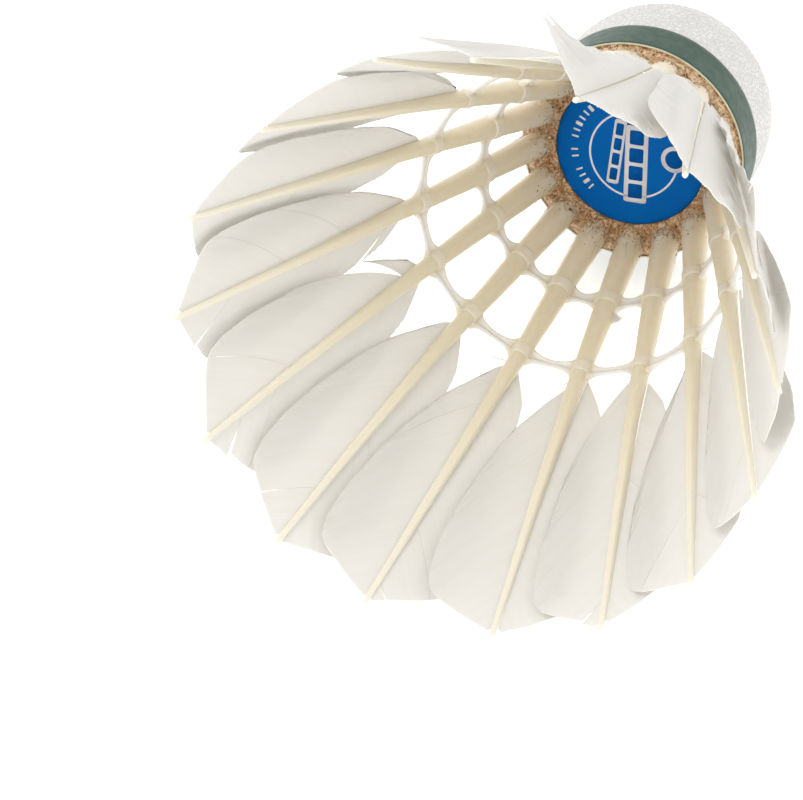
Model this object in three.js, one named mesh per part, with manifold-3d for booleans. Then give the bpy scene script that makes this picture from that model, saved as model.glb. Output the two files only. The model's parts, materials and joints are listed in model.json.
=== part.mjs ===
// Badminton shuttlecock: sixteen goose feathers set in a round cork base, lying at rest on a floor.
// Millimetres, +Z up. The mouth of the skirt points to -Y and the cork to +Y.
//
// Every piece is made in the base frame: origin at the centre of the cork's flat face, +z along the
// axis to the nose of the cork, so the feathers run to -z. The last section lays the whole thing down.

import * as THREE from 'three';
import { mergeVertices } from 'three/addons/utils/BufferGeometryUtils.js';
import Module from 'manifold-3d';

const wasm = await Module();
wasm.setup();

// ------------------------------------------------------------------ driving dimensions, mm
const FEATHERS = 16;
const FIRST_FEATHER = THREE.MathUtils.degToRad(14.1);  // turn of the skirt about its axis
const TIP_RADIUS = 33;             // circle through the shafts' tips
const ROOT_RADIUS = 10.6;          // circle through the quills at the cork's face
const FEATHER_REACH = 63;          // along the shaft, from the cork's face to the tip
const QUILL_DEPTH = 9;             // along the shaft, from the cork's face to the quill's end

const BASE_RADIUS = 12.9;          // cork and leather
const BASE_SIDE = 11.1;            // length of the base's straight side
const LEATHER = 0.45;              // thickness of the leather
const CORK_LIP = 1.2;              // full-width rim of the cork, which the leather butts against
const TAPE = 0.14;                 // thickness of the tape
const TAPE_WIDTH = 5.5;
const TAPE_INSET = 0.1;            // from the cork's face to the tape's edge
const LABEL_RADIUS = 8.85;
const LABEL_THICKNESS = 0.25;
const GLUE_DEPTH = 0.55;           // bead of glue round the quills' roots
const GLUE_INNER = 9.4;
const GLUE_OUTER = 12.6;

const VANE_START = 24;             // along the shaft
const VANE_THICKNESS = 0.3;
const VANE_TILT = 0.12;            // rise of a vane per mm of its width, so that neighbours overlap

const THREAD_ROWS = { thread_row_inner: 11, thread_row_outer: 22 };  // places along the shaft
const THREAD_SPAN = 0.7;           // thickness of the thread between two quills
const THREAD_WRAP = 0.35;          // thickness of the thread on a quill
const THREAD_BAND = 1.6;           // width of the thread on a quill

const GAP = 0.08;                  // between pieces that touch on the real one
const QUILL_FIT = 0.12;            // round a quill in its hole, its thread and its glue

const ROUND = 2 * FEATHERS;        // sides of the round pieces
const SHAFT_SIDES = 6;
const RUN_SIDES = 4;               // sides of the thread between two quills
const DOME_STEPS = 6;
const OVERSHOOT = 1;               // how far a cutter runs past the face that it opens

// Diameter of the shaft at places along it, from the point in the cork to the tip
const SHAFT_DIAMETERS = [
  [-QUILL_DEPTH, 1.8], [-4, 2.6], [0, 3.1], [5, 3], [11, 2.7], [22, 2.05], [30, 1.55], [40, 1.2],
  [50, 0.95], [FEATHER_REACH, 0.6],
];

// Half widths of a vane at places along the shaft: the inner half lies under the next feather
const VANE_EDGE = {
  inner: [
    [VANE_START, 0.8], [28.3, 3], [32.5, 4.9], [38, 6.4], [44, 7.6], [51, 8.5], [56, 8.5], [58.9, 7.8],
  ],
  outer: [[VANE_START, 0.7], [26, 2.2], [28.5, 3.3], [33, 4.3], [43, 6], [52, 7.2], [57.8, 7]],
};
const VANE_ROWS = 8;

const COLOURS = {
  vane: 0xf1ece2, shaft: 0xd9c89c, cork: 0xb9803f, leather: 0xf0efed, tape: 0x1f5240, label: 0x0b62b4,
  thread: 0xe9e6df, glue: 0xc09a6b,
};

// ------------------------------------------------------------------ helpers
const lerp = THREE.MathUtils.lerp;

// Value at a place in a list of [place, value] pairs, on straight lines between them
function along(pairs, place) {
  const last = pairs.length - 1;
  const next = Math.max(1, pairs.findIndex(([at], i) => at >= place || i === last));
  const [[a, low], [b, high]] = [pairs[next - 1], pairs[next]];
  return lerp(low, high, (place - a) / (b - a));
}

function surface(points, triangles) {
  const geometry = new THREE.BufferGeometry();
  geometry.setAttribute('position', new THREE.Float32BufferAttribute(points.flat(), 3));
  geometry.setIndex(triangles.flat());
  geometry.computeVertexNormals();
  return geometry;
}

// Closed body through rings of equally many points, an even number, which run anticlockwise seen from
// the last ring. Each end is closed by a zigzag between the ring's two halves.
function loft(rings) {
  const sides = rings[0].length;
  const triangles = [];
  for (let r = 1; r < rings.length; r++) {
    for (let i = 0; i < sides; i++) {
      const j = (i + 1) % sides;
      const [a, b, c, d] = [(r - 1) * sides + i, (r - 1) * sides + j, r * sides + i, r * sides + j];
      triangles.push([a, b, d], [a, d, c]);
    }
  }
  const top = (rings.length - 1) * sides;
  for (let i = 0; i < sides / 2 - 1; i++) {
    const [a, b, c, d] = [i, i + 1, sides - 2 - i, sides - 1 - i];
    triangles.push([a, d, b], [b, d, c]);
    triangles.push([top + a, top + b, top + d], [top + b, top + c, top + d]);
  }
  return surface(rings.flat(), triangles);
}

function circle(radius, height, sides = SHAFT_SIDES) {
  const turn = (2 * Math.PI) / sides;
  return Array.from({ length: sides }, (_, i) => {
    const angle = (i + 0.5) * turn;
    return [radius * Math.cos(angle), radius * Math.sin(angle), height];
  });
}

// Body of revolution about z from a profile of [radius, height] pairs that goes up its outer side
function turned(profile, sides = ROUND) {
  const lathe = new THREE.LatheGeometry(profile.map(([r, z]) => new THREE.Vector2(r, z)), sides);
  return lathe.rotateX(Math.PI / 2).rotateZ(FIRST_FEATHER);
}

function welded(geometry) {
  const bare = geometry.clone();
  bare.deleteAttribute('normal');
  bare.deleteAttribute('uv');
  return mergeVertices(bare);
}

function solid(geometry) {
  const { index, attributes } = welded(geometry);
  const triVerts = [];
  for (let i = 0; i < index.count; i += 3) {
    const [a, b, c] = [index.getX(i), index.getX(i + 1), index.getX(i + 2)];
    if (a !== b && b !== c && c !== a) {
      triVerts.push(a, b, c);
    }
  }
  return new wasm.Manifold(new wasm.Mesh({
    numProp: 3,
    vertProperties: Float32Array.from(attributes.position.array),
    triVerts: Uint32Array.from(triVerts),
  }));
}

function geometryOf(manifold) {
  const { vertProperties, triVerts } = manifold.getMesh();
  const geometry = new THREE.BufferGeometry();
  geometry.setAttribute('position', new THREE.BufferAttribute(vertProperties, 3));
  geometry.setIndex(new THREE.BufferAttribute(triVerts, 1));
  geometry.computeVertexNormals();
  return geometry;
}

function piece(name, geometry, colour, roughness, metalness = 0) {
  const material = new THREE.MeshStandardMaterial({ color: colour, roughness, metalness });
  const mesh = new THREE.Mesh(geometry, material);
  mesh.name = name;
  return mesh;
}

// ------------------------------------------------------------------ where a feather stands
// A feather's own frame: x round the skirt to the next feather, y outward, z along the shaft.
const SLOPE = Math.asin((TIP_RADIUS - ROOT_RADIUS) / FEATHER_REACH);

function featherPlace(number) {
  const outward = new THREE.Vector3(Math.cos(SLOPE), 0, Math.sin(SLOPE));
  const shaftway = new THREE.Vector3(Math.sin(SLOPE), 0, -Math.cos(SLOPE));
  const across = new THREE.Vector3(0, 1, 0);
  const place = new THREE.Matrix4().makeBasis(across, outward, shaftway);
  place.setPosition(ROOT_RADIUS, 0, 0);
  const angle = FIRST_FEATHER + (number * 2 * Math.PI) / FEATHERS;
  return new THREE.Matrix4().makeRotationZ(angle).multiply(place);
}

const featherNumbers = Array.from({ length: FEATHERS }, (_, i) => i);

// Cuts a copy of one shape out of a body, or adds it, at every feather
function atEachFeather(body, shape, operation) {
  let result = body;
  for (const number of featherNumbers) {
    result = result[operation](solid(shape.clone().applyMatrix4(featherPlace(number))));
  }
  return result;
}

// ------------------------------------------------------------------ feathers
function shaftGeometry() {
  return loft(SHAFT_DIAMETERS.map(([place, diameter]) => circle(diameter / 2, place)));
}

// The shaft's shape between two places, thicker all round by a clearance
function shaftCutter(from, to) {
  const places = [from, ...SHAFT_DIAMETERS.map(([at]) => at).filter((at) => at > from && at < to), to];
  return loft(places.map((at) => circle(along(SHAFT_DIAMETERS, at) / 2 + QUILL_FIT, at)));
}

// Height of the vane's middle surface over the shaft's axis. The vane bends with the cone of the
// skirt and tilts, so that its inner half passes under the next feather's outer half.
function vaneHeight(across, place) {
  const overShaft = along(SHAFT_DIAMETERS, place) / 2 + GAP + VANE_THICKNESS / 2;
  const coneRadius = (ROOT_RADIUS + place * Math.sin(SLOPE)) / Math.cos(SLOPE);
  return overShaft - VANE_TILT * across - (across * across) / (2 * coneRadius);
}

function vaneRing(share) {
  const reach = (edge) => lerp(VANE_START, edge[edge.length - 1][0], share);
  const middle = [0, lerp(VANE_START, FEATHER_REACH, share)];
  const [innerPlace, outerPlace] = [reach(VANE_EDGE.inner), reach(VANE_EDGE.outer)];
  const inner = [along(VANE_EDGE.inner, innerPlace), innerPlace];
  const outer = [-along(VANE_EDGE.outer, outerPlace), outerPlace];
  const half = (edge) => [(edge[0] + middle[0]) / 2, (edge[1] + middle[1]) / 2];
  const row = [outer, half(outer), middle, half(inner), inner];
  const side = (offset) => row.map(([x, z]) => [x, vaneHeight(x, z) + offset, z]);
  return [...side(-VANE_THICKNESS / 2), ...side(VANE_THICKNESS / 2).reverse()];
}

function vaneGeometry() {
  const shares = Array.from({ length: VANE_ROWS + 1 }, (_, i) => i / VANE_ROWS);
  return loft(shares.map(vaneRing));
}

function feathers() {
  const skirt = new THREE.Group();
  const [shaft, vane] = [shaftGeometry(), vaneGeometry()];
  for (const number of featherNumbers) {
    const label = String(number + 1).padStart(2, '0');
    const feather = new THREE.Group();
    feather.add(piece(`feather_shaft_${label}`, shaft, COLOURS.shaft, 0.45));
    feather.add(piece(`feather_vane_${label}`, vane, COLOURS.vane, 0.7));
    feather.applyMatrix4(featherPlace(number));
    skirt.add(feather);
  }
  return skirt;
}

// ------------------------------------------------------------------ threads
// A closed ring of thread: a band round every quill and a straight run to the next quill
function threadRow(name, place) {
  const bandRadius = (at) => along(SHAFT_DIAMETERS, at) / 2 + QUILL_FIT + THREAD_WRAP;
  const [low, high] = [place - THREAD_BAND / 2, place + THREAD_BAND / 2];
  const band = loft([low, high].map((at) => circle(bandRadius(at), at)));

  const ringRadius = ROOT_RADIUS + place * Math.sin(SLOPE);
  const halfStep = Math.PI / FEATHERS;
  const run = new THREE.CylinderGeometry(THREAD_SPAN / 2, THREAD_SPAN / 2,
    2 * ringRadius * Math.sin(halfStep), RUN_SIDES);
  run.translate(ringRadius * Math.cos(halfStep), 0, -place * Math.cos(SLOPE));

  let body = null;
  for (const number of featherNumbers) {
    const angle = FIRST_FEATHER + (2 * number + 1) * halfStep;
    const link = solid(run.clone().applyMatrix4(new THREE.Matrix4().makeRotationZ(angle)));
    body = body ? body.add(link) : link;
  }
  body = atEachFeather(body, band, 'add');
  body = atEachFeather(body, shaftCutter(low - OVERSHOOT, high + OVERSHOOT), 'subtract');
  return piece(name, geometryOf(body), COLOURS.thread, 0.35);
}

// ------------------------------------------------------------------ base
// Profile of the base's outside from its straight side to the nose, moved in by an offset
function dome(offset) {
  const radius = BASE_RADIUS - offset;
  return Array.from({ length: DOME_STEPS + 1 }, (_, i) => {
    const angle = (i / DOME_STEPS) * (Math.PI / 2);
    const atNose = i === DOME_STEPS;
    return [atNose ? 0 : radius * Math.cos(angle), BASE_SIDE + radius * Math.sin(angle)];
  });
}

function corkBase() {
  const profile = [[0, 0], [BASE_RADIUS, 0], [BASE_RADIUS, CORK_LIP],
    [BASE_RADIUS - LEATHER - GAP, CORK_LIP], ...dome(LEATHER + GAP)];
  const holes = shaftCutter(-QUILL_DEPTH - QUILL_FIT, OVERSHOOT);
  return piece('cork_base', geometryOf(atEachFeather(solid(turned(profile)), holes, 'subtract')),
    COLOURS.cork, 0.85);
}

function leatherCover() {
  const start = CORK_LIP + GAP;
  const profile = [...dome(LEATHER).reverse(), [BASE_RADIUS - LEATHER, start], [BASE_RADIUS, start],
    ...dome(0)];
  return piece('leather_cover', turned(profile), COLOURS.leather, 0.55);
}

function edgeTape() {
  const inside = BASE_RADIUS + GAP;
  const [low, high] = [TAPE_INSET, TAPE_INSET + TAPE_WIDTH];
  const profile = [[inside, low], [inside + TAPE, low], [inside + TAPE, high], [inside, high],
    [inside, low]];
  return piece('edge_tape', turned(profile), COLOURS.tape, 0.5);
}

function baseLabel() {
  const profile = [[0, -GAP - LABEL_THICKNESS], [LABEL_RADIUS, -GAP - LABEL_THICKNESS],
    [LABEL_RADIUS, -GAP], [0, -GAP]];
  return piece('base_label', turned(profile), COLOURS.label, 0.25);
}

function rootGlue() {
  const profile = [[GLUE_INNER, -GAP - GLUE_DEPTH], [GLUE_OUTER, -GAP - GLUE_DEPTH / 2],
    [GLUE_OUTER, -GAP], [GLUE_INNER, -GAP], [GLUE_INNER, -GAP - GLUE_DEPTH]];
  const holes = shaftCutter(-OVERSHOOT, 2 * OVERSHOOT);
  return piece('root_glue', geometryOf(atEachFeather(solid(turned(profile)), holes, 'subtract')),
    COLOURS.glue, 0.6);
}

// ------------------------------------------------------------------ lying at rest
// Height of a group's lowest point, over the origin, once the nose dips by an angle
function lowest(group, dip) {
  let low = Infinity;
  const point = new THREE.Vector3();
  group.updateMatrixWorld(true);
  group.traverse((mesh) => {
    const corners = mesh.isMesh ? mesh.geometry.attributes.position : { count: 0 };
    for (let i = 0; i < corners.count; i++) {
      point.fromBufferAttribute(corners, i).applyMatrix4(mesh.matrixWorld);
      low = Math.min(low, -point.y * Math.cos(dip) - point.z * Math.sin(dip));
    }
  });
  return low;
}

// The dip of the nose at which the skirt's rim and the base come down on the floor together
function restingDip(skirt, base) {
  let [level, steep] = [0, Math.PI / 4];
  for (let i = 0; i < 40; i++) {
    const dip = (level + steep) / 2;
    if (lowest(skirt, dip) < lowest(base, dip)) {
      level = dip;
    } else {
      steep = dip;
    }
  }
  return level;
}

function shuttlecock() {
  const skirt = feathers();
  for (const [name, place] of Object.entries(THREAD_ROWS)) {
    skirt.add(threadRow(name, place));
  }
  const base = new THREE.Group();
  base.add(corkBase(), leatherCover(), edgeTape(), baseLabel(), rootGlue());

  const group = new THREE.Group();
  group.rotation.x = -Math.PI / 2 - restingDip(skirt, base);
  group.add(skirt, base);

  const box = new THREE.Box3().setFromObject(group, true);
  const centre = box.getCenter(new THREE.Vector3());
  group.position.set(-centre.x, -centre.y, -box.min.z);
  return group;
}

export default shuttlecock();
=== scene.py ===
"""A feather badminton shuttlecock, lying on a pale floor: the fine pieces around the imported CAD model.

Shapes are made in the base frame, in millimetres: origin at the centre of the cork's flat face, +z along
the axis to the nose of the cork, so that the feathers run to -z. place() moves them to the CAD's frame.
"""

import json
import math
import random

import bmesh
import bpy
import numpy as np
from mathutils import Matrix, Vector, noise


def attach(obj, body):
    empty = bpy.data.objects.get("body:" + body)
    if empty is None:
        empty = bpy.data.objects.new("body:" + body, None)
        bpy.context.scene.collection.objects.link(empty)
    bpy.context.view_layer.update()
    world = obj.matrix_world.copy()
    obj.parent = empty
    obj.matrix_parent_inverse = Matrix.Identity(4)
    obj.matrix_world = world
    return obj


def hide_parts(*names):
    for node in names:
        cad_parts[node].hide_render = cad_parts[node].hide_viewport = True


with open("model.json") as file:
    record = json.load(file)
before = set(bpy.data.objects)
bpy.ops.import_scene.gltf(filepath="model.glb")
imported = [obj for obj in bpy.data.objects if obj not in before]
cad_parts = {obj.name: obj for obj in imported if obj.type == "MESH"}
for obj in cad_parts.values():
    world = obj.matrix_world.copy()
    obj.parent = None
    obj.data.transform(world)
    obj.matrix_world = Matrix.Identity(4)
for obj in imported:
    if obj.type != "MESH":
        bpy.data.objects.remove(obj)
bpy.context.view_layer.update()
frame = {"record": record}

MM = 0.001
rng = random.Random(16)

# ---------------- sizes of the CAD model, mm
FEATHERS = 16
STEP = 2 * math.pi / FEATHERS
FIRST_FEATHER = math.radians(14.1)
TIP_RADIUS = 33.0
ROOT_RADIUS = 10.6
REACH = 63.0                      # of a shaft out of the cork
QUILL_DEPTH = 9.0                 # of a quill in the cork
SLOPE = math.asin((TIP_RADIUS - ROOT_RADIUS) / REACH)
BASE_RADIUS = 12.9
BASE_SIDE = 11.1                  # straight side of the base, before its dome
LEATHER = 0.45
LEATHER_START = 1.28
TAPE_START, TAPE_END = 0.1, 5.6
LABEL_RADIUS = 8.85
LABEL_TOP, LABEL_BOTTOM = -0.33, -0.08
THREAD_PLACES = {"inner": 11.0, "outer": 22.0}

SHAFT_PLACES = [-QUILL_DEPTH, -4, 0, 5, 11, 22, 30, 40, 50, REACH]
SHAFT_DIAMETERS = [1.8, 2.6, 3.1, 3.0, 2.7, 2.05, 1.55, 1.2, 0.95, 0.6]


# ---------------- the base frame
def base_matrix():
    """From the base frame to the CAD's frame, both in millimetres."""
    mount = next(m for m in frame["record"]["mounts"] if m["name"] == "label_face")
    axis = -Vector(mount["axis"]).normalized()
    across = Vector((1, 0, 0))
    origin = Vector(mount["pos_m"]) / MM - axis * LABEL_TOP
    matrix = Matrix.Identity(4)
    for column, direction in enumerate((across, axis.cross(across), axis)):
        matrix.col[column][:3] = direction
    matrix.translation = origin
    return np.array(matrix)


BASE = base_matrix()


def moved(points, matrix):
    points = np.asarray(points, float)
    return points @ matrix[:3, :3].T + matrix[:3, 3]


def place(points):
    """Points of the base frame, in millimetres, as points of the CAD's frame, in metres."""
    return moved(points, BASE) * MM


def unplaced(points):
    """Points of the CAD's frame, in millimetres, as points of the base frame."""
    return (np.asarray(points) - BASE[:3, 3]) @ BASE[:3, :3]


def feather_matrix(index):
    """The own frame of the feather at an index from 0, in the base frame: x to the next feather,
    y outward, z along the shaft."""
    angle = FIRST_FEATHER + index * STEP
    outward = (math.cos(SLOPE), 0, math.sin(SLOPE))
    shaftway = (math.sin(SLOPE), 0, -math.cos(SLOPE))
    stand = Matrix.Identity(4)
    for column, direction in enumerate(((0, 1, 0), outward, shaftway)):
        stand.col[column][:3] = direction
    stand.translation = (ROOT_RADIUS, 0, 0)
    return np.array(Matrix.Rotation(angle, 4, "Z") @ stand)


# ---------------- mesh helpers
def grid_faces(rows, columns, wrap=False, first=0):
    """Quads of a grid of points stored row by row. wrap joins the last column to the first."""
    row, column = np.meshgrid(np.arange(rows - 1), np.arange(columns - (not wrap)), indexing="ij")
    a = first + row * columns + column
    b = first + row * columns + (column + 1) % columns
    return np.stack([a, b, b + columns, a + columns], axis=-1).reshape(-1, 4)


def mesh_object(name, points, faces, closed=True):
    """A smooth mesh from base-frame points and lists of corners. A closed one gets its faces outward."""
    mesh = bpy.data.meshes.new(name)
    mesh.from_pydata(place(points).tolist(), [], [list(map(int, f)) for f in faces])
    if closed:
        work = bmesh.new()
        work.from_mesh(mesh)
        bmesh.ops.recalc_face_normals(work, faces=work.faces)
        work.to_mesh(mesh)
        work.free()
    mesh.shade_smooth()
    thing = bpy.data.objects.new(name, mesh)
    bpy.context.scene.collection.objects.link(thing)
    return thing


def applied(thing):
    """Turns a piece's modifiers into its mesh."""
    graph = bpy.context.evaluated_depsgraph_get()
    mesh = bpy.data.meshes.new_from_object(thing.evaluated_get(graph))
    thing.modifiers.clear()
    thing.data = mesh
    mesh.shade_smooth()
    return thing


def fused(thing, voxel, smoothing):
    """Melts overlapping forms into one skin."""
    remesh = thing.modifiers.new("fuse", "REMESH")
    remesh.mode = "VOXEL"
    remesh.voxel_size = voxel * MM
    smooth = thing.modifiers.new("flow", "SMOOTH")
    smooth.factor = 0.5
    smooth.iterations = smoothing
    return applied(thing)


def set_uv(thing, name, values):
    """A UV map from one pair for each vertex."""
    corner = np.empty(len(thing.data.loops), int)
    thing.data.loops.foreach_get("vertex_index", corner)
    thing.data.uv_layers.new(name=name).data.foreach_set("uv", np.asarray(values)[corner].ravel())


def around(radius, turn, height):
    """Points about the z axis."""
    return np.stack([radius * np.cos(turn), radius * np.sin(turn), height + 0 * turn], axis=1)


def skinned(rings):
    """The points of rings, and the faces of a closed tube through them."""
    sides = len(rings[0])
    faces = [list(f) for f in grid_faces(len(rings), sides, wrap=True)]
    faces += [list(range(sides)), [(len(rings) - 1) * sides + i for i in range(sides)]]
    return np.concatenate(rings), faces


def tube(points, sections, sides=12):
    """Rings round a line of points, and their faces. A section is its two half widths: the first lies
    along `up`, which is given with it."""
    points = np.asarray(points, float)
    tangents = np.gradient(points, axis=0)
    rings = []
    for point, tangent, (half_up, half_side, up) in zip(points, tangents, sections):
        tangent = tangent / np.linalg.norm(tangent)
        side = np.cross(tangent, up)
        side /= np.linalg.norm(side)
        up = np.cross(side, tangent)
        turn = np.arange(sides) * 2 * math.pi / sides
        ring = point + np.outer(np.cos(turn) * half_up, up)
        rings.append(ring + np.outer(np.sin(turn) * half_side, side))
    return skinned(rings)


def joined(parts):
    """One list of points and one of faces from several."""
    points, faces, first = [], [], 0
    for part_points, part_faces in parts:
        points.append(part_points)
        faces += [[first + int(i) for i in f] for f in part_faces]
        first += len(part_points)
    return np.concatenate(points), faces


def turned(profile, sides):
    """A body of revolution about the axis. A profile's end on the axis becomes one point."""
    points, faces, rings = [], [], []
    turn = np.arange(sides) * 2 * math.pi / sides
    for radius, height in profile:
        if radius == 0:
            rings.append([len(points)] * sides)
            points.append((0, 0, height))
        else:
            rings.append(list(range(len(points), len(points) + sides)))
            points += list(zip(radius * np.cos(turn), radius * np.sin(turn), [height] * sides))
    for low, high in zip(rings, rings[1:]):
        for i in range(sides):
            j = (i + 1) % sides
            corners = [low[i], low[j], high[j], high[i]]
            faces.append(list(dict.fromkeys(corners)))
    return np.array(points, float), faces


def fine(profile, step):
    """A profile with points about a step apart."""
    out = []
    for (r0, z0), (r1, z1) in zip(profile, profile[1:]):
        count = max(1, round(math.dist((r0, z0), (r1, z1)) / step))
        out += [(r0 + (r1 - r0) * i / count, z0 + (z1 - z0) * i / count) for i in range(count)]
    return out + [profile[-1]]


def speckle(point, scale):
    """Smooth noise from -1 to 1, with lumps about `scale` millimetres across."""
    return noise.noise(Vector(point) / scale)


# ---------------- material helpers
def node(tree, kind, inputs=None, **settings):
    """A shader node. An input is a value, or the socket that feeds it."""
    made = tree.nodes.new("ShaderNode" + kind)
    for name, value in settings.items():
        setattr(made, name, value)
    for name, value in (inputs or {}).items():
        if isinstance(value, bpy.types.NodeSocket):
            tree.links.new(value, made.inputs[name])
        else:
            made.inputs[name].default_value = value
    return made


def math_node(tree, operation, *values):
    return node(tree, "Math", dict(enumerate(values)), operation=operation).outputs[0]


def grey(value):
    return (value, value, value)


def ramp(tree, factor, *stops):
    """A colour ramp from (position, colour) stops. A colour may be one number, for a grey."""
    made = node(tree, "ValToRGB", {"Fac": factor})
    elements = made.color_ramp.elements
    while len(elements) < len(stops):
        elements.new(0.5)
    for element, (position, colour) in zip(elements, stops):
        element.position = position
        element.color = (*(grey(colour) if isinstance(colour, (int, float)) else colour), 1)
    return made.outputs["Color"]


def mixed(tree, factor, first, second):
    """Two colours mixed by a factor."""
    made = node(tree, "Mix", data_type="RGBA")
    for socket, value in ((made.inputs[0], factor), (made.inputs[6], first), (made.inputs[7], second)):
        if isinstance(value, bpy.types.NodeSocket):
            tree.links.new(value, socket)
        else:
            socket.default_value = value if isinstance(value, (int, float)) else (*value, 1)
    return made.outputs[2]


def bump(tree, height, distance, strength):
    inputs = {"Height": height, "Distance": distance * MM, "Strength": strength}
    return node(tree, "Bump", inputs).outputs["Normal"]


def object_place(tree):
    return node(tree, "TexCoord").outputs["Object"]


def noise_texture(tree, size, detail=3.0, roughness=0.5):
    """Noise with lumps of a size in millimetres."""
    inputs = {"Vector": object_place(tree), "Scale": 1 / (size * MM), "Detail": detail,
              "Roughness": roughness}
    return node(tree, "TexNoise", inputs).outputs["Fac"]


def attribute(tree, name):
    return node(tree, "Attribute", attribute_name=name).outputs["Fac"]


def material(name, colour, roughness, **sockets):
    """A Principled material, and its tree and shader. A socket's name has _ for its spaces."""
    made = bpy.data.materials.new(name)
    made.use_nodes = True
    tree = made.node_tree
    shader = tree.nodes["Principled BSDF"]
    shader.inputs["Base Color"].default_value = (*colour, 1)
    shader.inputs["Roughness"].default_value = roughness
    for socket, value in sockets.items():
        shader.inputs[socket.replace("_", " ")].default_value = value
    return made, tree, shader


def wire(shader, **sources):
    """Links outputs to a shader's inputs."""
    for socket, source in sources.items():
        shader.id_data.links.new(source, shader.inputs[socket.replace("_", " ")])


def finish_piece(thing, look, slot, *nodes):
    """Gives a piece its material, hangs it on the root body, and hides the CAD nodes it stands for."""
    thing.data.materials.clear()
    thing.data.materials.append(look)
    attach(thing, "root")
    if nodes:
        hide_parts(*nodes)
    return thing


# ---------------- materials
def vane_material():
    """Off-white keratin film. The UV map counts barbs across and millimetres along them."""
    made, tree, shader = material("feather_vane", (0.82, 0.79, 0.73), 0.6, Sheen_Weight=0.15,
                                  Sheen_Roughness=0.5, Specular_IOR_Level=0.3)
    uv = node(tree, "UVMap", uv_map="barbs").outputs["UV"]
    across = node(tree, "SeparateXYZ", {"Vector": uv}).outputs["X"]
    number = math_node(tree, "FLOOR", across)
    each = node(tree, "TexWhiteNoise", {"W": number}, noise_dimensions="1D").outputs["Value"]
    middle = math_node(tree, "SUBTRACT", math_node(tree, "FRACT", across), 0.5)
    # Painted shade: along the grooves between barbs, where the relief is low, the colour is darkened
    # towards (0.76, 0.735, 0.67).
    groove = ramp(tree, math_node(tree, "ABSOLUTE", middle), (0.3, 0), (0.5, 1))
    cream = mixed(tree, noise_texture(tree, 6, 2), (0.86, 0.845, 0.81), (0.82, 0.80, 0.75))
    # Painted highlight: barbs picked at random are lightened towards near white, as if they caught the
    # light.
    barb_highlights = mixed(tree, ramp(tree, each, (0, 0), (1, 0.4)), cream, (0.89, 0.885, 0.865))
    colour = mixed(tree, ramp(tree, groove, (0, 0), (1, 0.2)), barb_highlights, (0.76, 0.735, 0.67))
    stretched = node(tree, "Mapping", {"Vector": uv, "Scale": (9, 1.2, 1)}).outputs["Vector"]
    barbules = node(tree, "TexNoise", {"Vector": stretched, "Scale": 2.5, "Detail": 3}).outputs["Fac"]
    wire(shader, Base_Color=colour, Normal=bump(tree, barbules, 0.02, 0.5))
    through = node(tree, "BsdfTranslucent", {"Color": (0.93, 0.915, 0.88, 1)})
    blend = node(tree, "MixShader", {"Fac": 0.30, 1: shader.outputs["BSDF"], 2: through.outputs["BSDF"]})
    wire(tree.nodes["Material Output"], Surface=blend.outputs[0])
    return made


def shaft_material():
    """Horn: beige and clouded at the quill, cream-yellow along the shaft. UV x is mm from the cork."""
    made, tree, shader = material("feather_shaft", (0.80, 0.71, 0.50), 0.38, Subsurface_Weight=0.25,
                                  Subsurface_Scale=0.6 * MM, Subsurface_Radius=(1.0, 0.75, 0.45),
                                  Coat_Weight=0.15, Coat_Roughness=0.25)
    uv = node(tree, "UVMap", uv_map="shaft").outputs["UV"]
    share = math_node(tree, "DIVIDE", node(tree, "SeparateXYZ", {"Vector": uv}).outputs["X"], REACH)
    base = ramp(tree, share, (0.0, (0.75, 0.63, 0.45)), (0.12, (0.78, 0.675, 0.49)),
                (0.35, (0.745, 0.655, 0.46)), (0.7, (0.81, 0.75, 0.60)), (1.0, (0.81, 0.77, 0.66)))
    streaks = node(tree, "Mapping", {"Vector": uv, "Scale": (0.35, 3.0, 1)}).outputs["Vector"]
    streaks = node(tree, "TexNoise", {"Vector": streaks, "Scale": 2.2, "Detail": 4}).outputs["Fac"]
    colour = mixed(tree, ramp(tree, streaks, (0.35, 0), (0.75, 0.5)), base, (0.80, 0.76, 0.64))
    rough = ramp(tree, noise_texture(tree, 1.2), (0.3, 0.32), (0.7, 0.48))
    wire(shader, Base_Color=colour, Roughness=rough, Normal=bump(tree, streaks, 0.03, 0.35))
    return made


def thread_material():
    """White thread under clear lacquer. The attribute `wrap` is above 0 where it lies on a quill."""
    made, tree, shader = material("lacquered_thread", (0.80, 0.77, 0.72), 0.3, Coat_Weight=0.4,
                                  Coat_Roughness=0.15, Subsurface_Weight=0.3,
                                  Subsurface_Scale=0.5 * MM, Subsurface_Radius=(1.0, 0.95, 0.85))
    white = mixed(tree, noise_texture(tree, 0.9), (0.74, 0.715, 0.67), (0.86, 0.84, 0.80))
    wire(shader, Base_Color=mixed(tree, attribute(tree, "wrap"), white, (0.78, 0.70, 0.54)),
         Normal=bump(tree, noise_texture(tree, 0.25, 2), 0.03, 0.5))
    return made


def glue_material():
    """Clear glue full of cork dust: brown at the cork, clearing to the quills' beige."""
    made, tree, shader = material("root_glue", (0.6, 0.4, 0.22), 0.5, Coat_Weight=0.25,
                                  Coat_Roughness=0.3)
    grains = noise_texture(tree, 0.35, 4, 0.7)
    brown = ramp(tree, grains, (0.36, (0.20, 0.09, 0.035)), (0.46, (0.42, 0.215, 0.09)),
                 (0.54, (0.57, 0.37, 0.19)), (0.66, (0.72, 0.60, 0.42)))
    dust = ramp(tree, grains, (0.40, (0.36, 0.24, 0.13)), (0.47, (0.62, 0.51, 0.34)),
                (0.6, (0.78, 0.69, 0.52)))
    wire(shader, Base_Color=mixed(tree, attribute(tree, "clear"), brown, dust),
         Normal=bump(tree, grains, 0.12, 0.8))
    return made


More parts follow.
